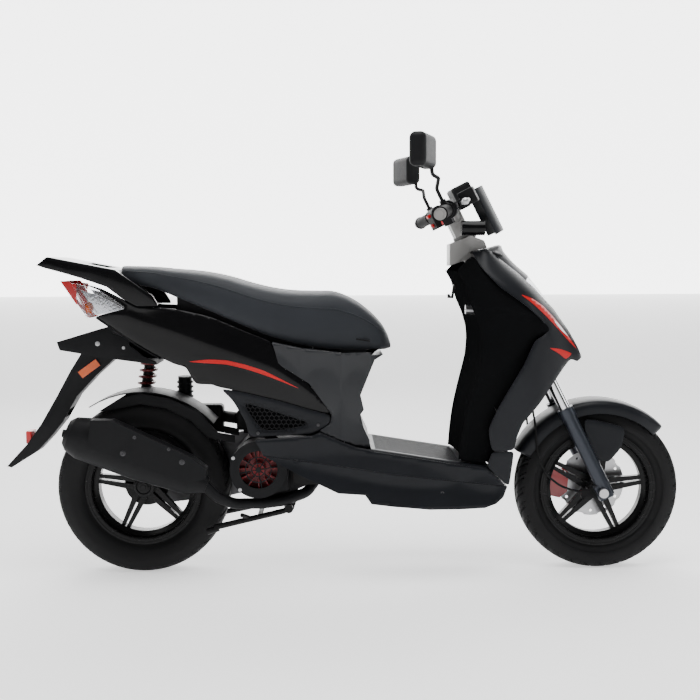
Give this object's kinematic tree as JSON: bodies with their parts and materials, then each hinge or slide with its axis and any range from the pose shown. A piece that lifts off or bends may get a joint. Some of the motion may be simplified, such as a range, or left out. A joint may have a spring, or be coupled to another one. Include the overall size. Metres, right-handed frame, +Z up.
{
  "type": "moped scooter",
  "caption": "Step-through moped scooter with leg shield, flat floor, stepped seat, grab rail, cast wheels, front disc brake and swinging engine unit.",
  "frame": {"origin": "on the ground, at the middle of the length and width", "axes": "+X forward along the length, +Y to the rider's left, +Z up"},
  "size_m": [1.9056, 0.8004, 1.199],
  "materials": {
    "black_plastic": "satin moulded",
    "gloss_black": "gloss lacquer",
    "vinyl": "matte charcoal vinyl",
    "frame_black": "satin powder coat",
    "fork_blue_grey": "satin paint",
    "chrome": "polished",
    "steel": "ground steel",
    "aluminium": "as cast",
    "silver_grey": "satin silver-grey",
    "rubber": "matte",
    "tyre": "matte tread",
    "wheel_black": "semi-gloss paint",
    "red_plastic": "gloss",
    "red_metal": "gloss paint",
    "clear_lens": "clear moulded lens",
    "mirror_black": "satin, with mirror glass in the visual model"
  },
  "bodies": {
    "chassis": {"main_frame": "frame_black", "fuel_tank": "frame_black", "battery": "rubber", "side_panels": "gloss_black", "vent_panels": "black_plastic", "centre_cover": "black_plastic", "rear_lenses": "clear_lens", "rear_mudguard": "black_plastic", "grab_rail": "gloss_black", "helmet_box": "black_plastic", "floorboard": "black_plastic", "belly_pan": "black_plastic", "front_wings": "black_plastic", "front_shield": "black_plastic", "headlight": "clear_lens", "lower_fairings": "black_plastic", "inner_leg_shield": "black_plastic", "neck_cover": "silver_grey"},
    "seat": {"seat_pad": "vinyl", "seat_base": "black_plastic"},
    "bag_hook": {"bag_hook": "black_plastic"},
    "ignition": {"ignition_lock": "steel"},
    "steering": {"steering_stem": "frame_black", "stanchions": "chrome", "handlebar": "frame_black", "left_grip": "rubber", "bar_controls": "black_plastic", "instrument_cluster": "black_plastic", "flyscreen": "black_plastic", "front_indicators": "black_plastic"},
    "throttle": {"throttle_grip": "rubber"},
    "brake_lever_right": {"brake_lever_right": "aluminium"},
    "brake_lever_left": {"brake_lever_left": "aluminium"},
    "mirror_right": {"mirror_right": "mirror_black"},
    "mirror_left": {"mirror_left": "mirror_black"},
    "starter_button": {"starter_button": "red_plastic"},
    "horn_button": {"horn_button": "red_plastic"},
    "turn_switch": {"turn_switch": "red_plastic"},
    "kick_lever": {"kick_lever": "steel"},
    "centre_stand": {"centre_stand": "frame_black"},
    "fork_lower": {"fork_lowers": "fork_blue_grey", "front_axle": "steel", "front_fender": "black_plastic", "brake_caliper": "red_metal", "front_cables": "rubber"},
    "front_wheel": {"front_rim": "wheel_black", "front_tyre": "tyre", "brake_disc": "steel"},
    "engine_unit": {"engine_case": "aluminium", "fan_cover": "black_plastic", "transmission_case": "aluminium", "muffler": "frame_black", "hugger": "black_plastic", "air_box": "black_plastic"},
    "crank": {"cooling_fan": "red_plastic"},
    "rear_wheel": {"rear_rim": "wheel_black", "rear_tyre": "tyre"},
    "shock_upper": {"shock_upper": "frame_black", "shock_spring": "red_metal"},
    "shock_lower": {"shock_lower": "steel"}
  },
  "joints": [
    {"name": "steering", "type": "hinge", "parent": "chassis", "child": "steering", "pos_m": [0.69864, 0, 0.21735], "axis": [-0.4462, 0, 0.8949], "range_deg": [-40, 40]},
    {"name": "fork_slide", "type": "slide", "parent": "steering", "child": "fork_lower", "axis": [-0.4462, 0, 0.8949], "range_m": [-0.015, 0.06], "stiffness_N_per_m": 9000, "springref_m": -0.03},
    {"name": "front_wheel_spin", "type": "hinge", "parent": "fork_lower", "child": "front_wheel", "pos_m": [0.7228, 0, 0.2294], "axis": [0, 1, 0], "continuous": true},
    {"name": "engine_swing", "type": "hinge", "parent": "chassis", "child": "engine_unit", "pos_m": [-0.1272, 0, 0.275], "axis": [0, 1, 0], "range_deg": [-2.5, 5], "stiffness_Nm_per_rad": 6000, "springref_deg": -1.72},
    {"name": "crank_spin", "type": "hinge", "parent": "engine_unit", "child": "crank", "pos_m": [-0.2362, 0, 0.307], "axis": [0, 1, 0], "continuous": true},
    {"name": "rear_wheel_spin", "type": "hinge", "parent": "engine_unit", "child": "rear_wheel", "pos_m": [-0.5672, 0, 0.2434], "axis": [0, 1, 0], "continuous": true},
    {"name": "kick_start", "type": "hinge", "parent": "engine_unit", "child": "kick_lever", "pos_m": [-0.3052, 0.13, 0.262], "axis": [0, -1, 0], "range_deg": [0, 50], "stiffness_Nm_per_rad": 1.5, "springref_deg": -28.65},
    {"name": "centre_stand", "type": "hinge", "parent": "engine_unit", "child": "centre_stand", "pos_m": [-0.1552, 0, 0.187], "axis": [0, -1, 0], "range_deg": [0, 80], "stiffness_Nm_per_rad": 6, "springref_deg": -22.92},
    {"name": "shock_tilt", "type": "hinge", "parent": "chassis", "child": "shock_upper", "pos_m": [-0.5552, 0.101, 0.652], "axis": [0, 1, 0], "range_deg": [-0.4, 0.6]},
    {"name": "shock_stroke", "type": "slide", "parent": "shock_upper", "child": "shock_lower", "axis": [0.1673, 0, 0.9859], "range_m": [-0.0225, 0.0435], "deforming": ["shock_spring"]},
    {"name": "seat_hinge", "type": "hinge", "parent": "chassis", "child": "seat", "pos_m": [0.1258, 0, 0.64], "axis": [0, 1, 0], "range_deg": [0, 55]},
    {"name": "throttle_twist", "type": "hinge", "parent": "steering", "child": "throttle", "pos_m": [0.2717, -0.21829, 1.00963], "axis": [-0.2265, -0.9669, -0.1175], "range_deg": [0, 75], "stiffness_Nm_per_rad": 0.3, "springref_deg": -17.19},
    {"name": "brake_pull_right", "type": "hinge", "parent": "steering", "child": "brake_lever_right", "pos_m": [0.31444, -0.21746, 1.03101], "axis": [0.4471, 0.004, -0.8945], "range_deg": [0, 18], "stiffness_Nm_per_rad": 2, "springref_deg": -17.19},
    {"name": "brake_pull_left", "type": "hinge", "parent": "steering", "child": "brake_lever_left", "pos_m": [0.31444, 0.21746, 1.03101], "axis": [-0.4471, 0.004, 0.8945], "range_deg": [0, 18], "stiffness_Nm_per_rad": 2, "springref_deg": -17.19},
    {"name": "mirror_swivel_right", "type": "hinge", "parent": "steering", "child": "mirror_right", "pos_m": [0.2276, -0.2818, 1.12], "axis": [0, 0, 1], "range_deg": [-12, 12]},
    {"name": "mirror_swivel_left", "type": "hinge", "parent": "steering", "child": "mirror_left", "pos_m": [0.2276, 0.2818, 1.12], "axis": [0, 0, 1], "range_deg": [-12, 12]},
    {"name": "starter_press", "type": "slide", "parent": "steering", "child": "starter_button", "axis": [0.8653, -0.2551, 0.4314], "range_m": [0, 0.003], "stiffness_N_per_m": 600, "springref_m": -0.001},
    {"name": "horn_press", "type": "slide", "parent": "steering", "child": "horn_button", "axis": [0.8653, 0.2551, 0.4314], "range_m": [0, 0.003], "stiffness_N_per_m": 600, "springref_m": -0.001},
    {"name": "turn_signal_slide", "type": "slide", "parent": "steering", "child": "turn_switch", "axis": [-0.2265, 0.9669, -0.1175], "range_m": [-0.004, 0.004]},
    {"name": "ignition_turn", "type": "hinge", "parent": "chassis", "child": "ignition", "pos_m": [0.3488, -0.062, 0.742], "axis": [1, 0, 0], "range_deg": [0, 90]},
    {"name": "hook_fold", "type": "hinge", "parent": "chassis", "child": "bag_hook", "pos_m": [0.3168, 0, 0.806], "axis": [0, 1, 0], "range_deg": [0, 80]}
  ],
  "couplings": [
    {"joint": "shock_tilt", "follows": "engine_swing", "ratio": 0.073},
    {"joint": "shock_stroke", "follows": "engine_swing", "m_per_rad": 0.4855}
  ]
}
